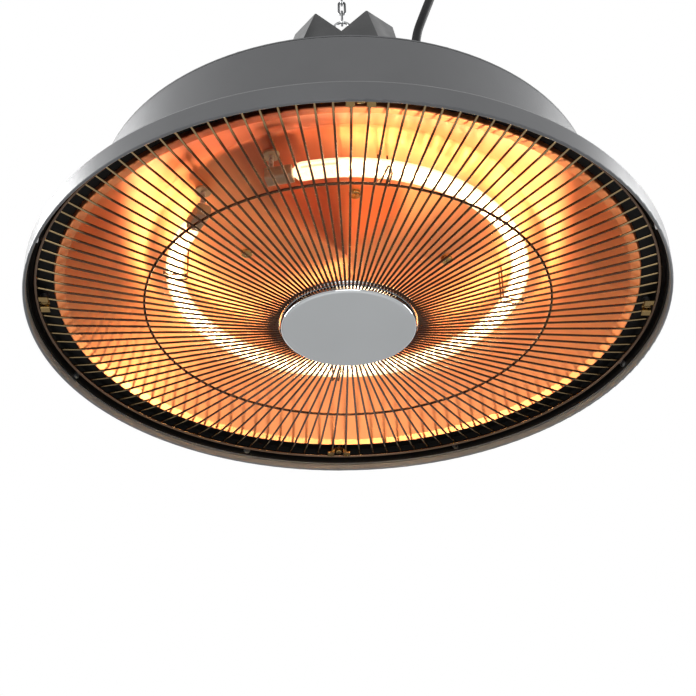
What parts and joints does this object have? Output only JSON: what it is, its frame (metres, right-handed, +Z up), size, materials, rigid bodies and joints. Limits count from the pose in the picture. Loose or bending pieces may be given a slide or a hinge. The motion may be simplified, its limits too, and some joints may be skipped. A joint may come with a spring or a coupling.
{
  "type": "electric patio heater",
  "caption": "Round electric heater that hangs from a ceiling hook by a chain: grey spun shade, copper dish, ring lamp behind a guard of radial wires, faceted collar, coiled cord with plug.",
  "frame": {"origin": "centre of the ceiling plate's top face, where it meets the ceiling", "axes": "+Z up along the chain, -Y the side on which the collar's notch and the coil are seen, +X right"},
  "size_m": [0.425, 0.425, 0.4575],
  "materials": {
    "housing_paint": "satin",
    "black_paint": "satin",
    "collar_paint": "satin",
    "copper": "brushed",
    "chrome": "polished",
    "spoke_metal": "polished",
    "gold_zinc": "yellow zinc",
    "zinc": "zinc",
    "shield_metal": "plain",
    "quartz": "clear",
    "glow_wire": "glowing",
    "ceramic": "ceramic",
    "brass_parts": "plain",
    "wool": "fibre board",
    "black_plastic": "moulded",
    "black_rubber": "moulded",
    "lead_sleeve": "glass braid",
    "strap_fabric": "woven"
  },
  "bodies": {
    "ceiling": {"ceiling_plate": "zinc", "ceiling_bail": "zinc"},
    "snap_hook": {"snap_hook": "zinc", "snap_gate_pin": "zinc"},
    "snap_gate": {"snap_gate": "zinc"},
    "top_ring": {"top_ring": "zinc"},
    "upper_link": {"upper_link": "zinc"},
    "heater": {"bridge": "zinc", "cable_clamp": "zinc", "carrier": "black_paint", "carrier_rivets": "zinc", "chain_links": "zinc", "clip_nuts": "zinc", "clip_plates": "gold_zinc", "clip_posts": "zinc", "clip_screws": "gold_zinc", "coil_strap": "strap_fabric", "collar_left": "collar_paint", "collar_right": "collar_paint", "collar_rivets": "zinc", "cord_coil": "black_rubber", "cord_lead": "black_rubber", "cord_tail": "black_rubber", "earth_screw": "zinc", "eye_bolt": "zinc", "eye_nuts": "zinc", "gland_body": "black_plastic", "gland_nut": "black_plastic", "guard_disc": "chrome", "guard_inner_ring": "chrome", "guard_middle_ring": "chrome", "guard_outer_ring": "chrome", "guard_spokes": "spoke_metal", "heat_shield": "shield_metal", "housing": "housing_paint", "inner_cable": "black_rubber", "insulation": "wool", "lamp_caps": "ceramic", "lamp_coil": "glow_wire", "lamp_leads": "lead_sleeve", "lamp_supports": "zinc", "lamp_tails": "glow_wire", "lamp_tube": "quartz", "lead_bushes": "ceramic", "mounting_screws": "zinc", "plug_body": "black_rubber", "plug_pins": "brass_parts", "reflector": "copper", "reflector_nuts": "zinc", "reflector_screws": "zinc", "reflector_spacers": "zinc", "rim_band": "housing_paint", "roof": "housing_paint", "roof_bolts": "zinc", "roof_nuts": "zinc", "roof_screws": "zinc", "strain_relief": "black_rubber", "terminal_block": "ceramic", "terminal_screws": "brass_parts", "thermal_cutout": "black_plastic"}
  },
  "joints": [
    {"name": "hook_swing", "type": "hinge", "parent": "ceiling", "child": "snap_hook", "pos_m": [0, 0, -0.017], "axis": [1, 0, 0], "range_deg": [-25, 25]},
    {"name": "gate_open", "type": "hinge", "parent": "snap_hook", "child": "snap_gate", "pos_m": [0, -0.01, -0.0433], "axis": [-1, 0, 0], "range_deg": [0, 25], "stiffness_Nm_per_rad": 0.02, "springref_deg": -17.19},
    {"name": "ring_swing", "type": "hinge", "parent": "snap_hook", "child": "top_ring", "pos_m": [0, 0, -0.0568], "axis": [0, 1, 0], "range_deg": [-25, 25]},
    {"name": "link_swing", "type": "hinge", "parent": "top_ring", "child": "upper_link", "pos_m": [0, 0, -0.0665], "axis": [1, 0, 0], "range_deg": [-25, 25]},
    {"name": "heater_swing", "type": "hinge", "parent": "upper_link", "child": "heater", "pos_m": [0, 0, -0.0771], "axis": [0, 1, 0], "range_deg": [-25, 25]}
  ]
}
